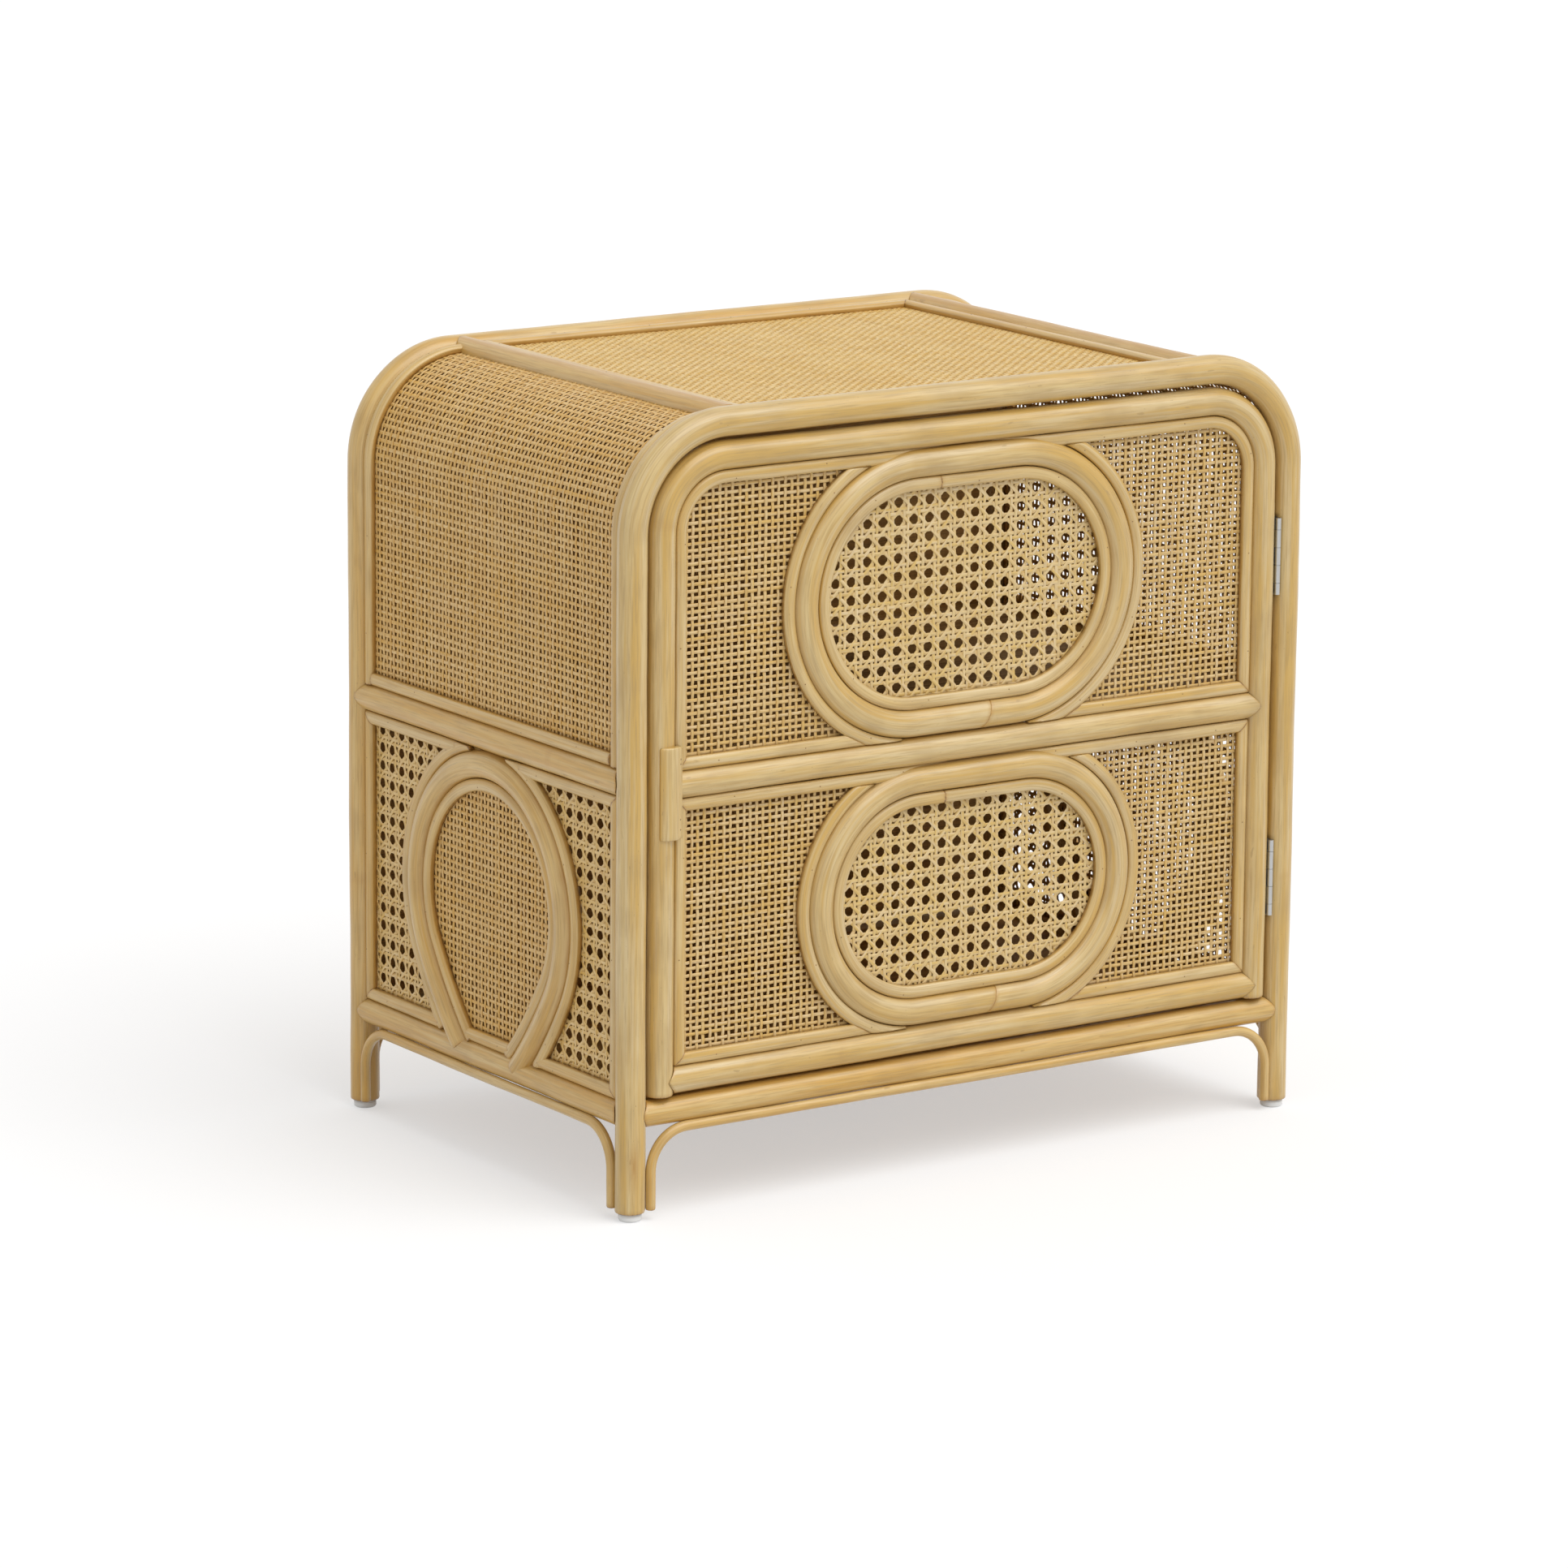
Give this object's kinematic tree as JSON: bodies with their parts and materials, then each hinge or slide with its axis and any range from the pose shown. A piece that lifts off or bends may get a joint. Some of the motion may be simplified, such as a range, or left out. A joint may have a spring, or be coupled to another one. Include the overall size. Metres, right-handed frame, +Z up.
{
  "type": "rattan side table with door",
  "caption": "Low rattan cabinet table with arched pole ends, woven top and sides, horseshoe side motifs, and a hinged front door with oval cane windows.",
  "frame": {"origin": "on the floor, under the middle of the overall box", "axes": "+X to the viewer's right, the hinge side; +Y from the door to the back; +Z up"},
  "size_m": [0.691, 0.4496, 0.668],
  "materials": {
    "rattan_pole": "clear satin lacquer on peeled rattan pole",
    "rattan_bead": "clear satin lacquer on split rattan",
    "open_weave": "plain-woven rattan strip, satin",
    "cane_webbing": "six-way cane webbing, glossy skin",
    "close_mat": "close-woven rattan mat, satin",
    "plywood": "stained thin plywood",
    "hinge_steel": "plain zinc-plated steel",
    "glide_plastic": "moulded white plastic",
    "catch_plastic": "moulded off-white plastic"
  },
  "bodies": {
    "carcass": {"front_arch": "rattan_pole", "back_arch": "rattan_pole", "front_bottom_rail": "rattan_pole", "back_bottom_rail": "rattan_pole", "back_mid_rail": "rattan_pole", "front_brace": "rattan_pole", "back_brace": "rattan_pole", "left_bottom_rail": "rattan_pole", "left_mid_rail": "rattan_pole", "left_top_rail": "rattan_pole", "left_brace": "rattan_pole", "left_horseshoe": "rattan_pole", "left_upper_beads": "rattan_bead", "left_lower_beads": "rattan_bead", "left_horseshoe_beads": "rattan_bead", "left_upper_weave": "open_weave", "left_horseshoe_weave": "open_weave", "left_cane": "cane_webbing", "right_bottom_rail": "rattan_pole", "right_mid_rail": "rattan_pole", "right_top_rail": "rattan_pole", "right_brace": "rattan_pole", "right_horseshoe": "rattan_pole", "right_upper_beads": "rattan_bead", "right_lower_beads": "rattan_bead", "right_horseshoe_beads": "rattan_bead", "right_upper_weave": "open_weave", "right_horseshoe_weave": "open_weave", "right_cane": "cane_webbing", "top_beads": "rattan_bead", "back_beads": "rattan_bead", "top_mat": "close_mat", "shelf_mat": "close_mat", "top_board": "plywood", "back_upper_panel": "plywood", "back_lower_panel": "plywood", "bottom_board": "plywood", "shelf_board": "plywood", "hinge_frame_leaves": "hinge_steel", "hinge_pins": "hinge_steel", "floor_glides": "glide_plastic", "magnetic_catch": "catch_plastic"},
    "door": {"door_arch": "rattan_pole", "door_mid_rail": "rattan_pole", "door_bottom_rail": "rattan_pole", "upper_ring": "rattan_pole", "lower_ring": "rattan_pole", "upper_ring_beads": "rattan_bead", "lower_ring_beads": "rattan_bead", "upper_bay_beads": "rattan_bead", "lower_bay_beads": "rattan_bead", "upper_weave": "open_weave", "lower_weave": "open_weave", "upper_cane": "cane_webbing", "lower_cane": "cane_webbing", "door_handle": "rattan_pole", "hinge_door_leaves": "hinge_steel", "catch_strike": "hinge_steel"}
  },
  "joints": [
    {"name": "door_hinge", "type": "hinge", "parent": "carcass", "child": "door", "pos_m": [0.3192, -0.2173, 0.3483], "axis": [0, 0, 1], "range_deg": [0, 110]}
  ]
}
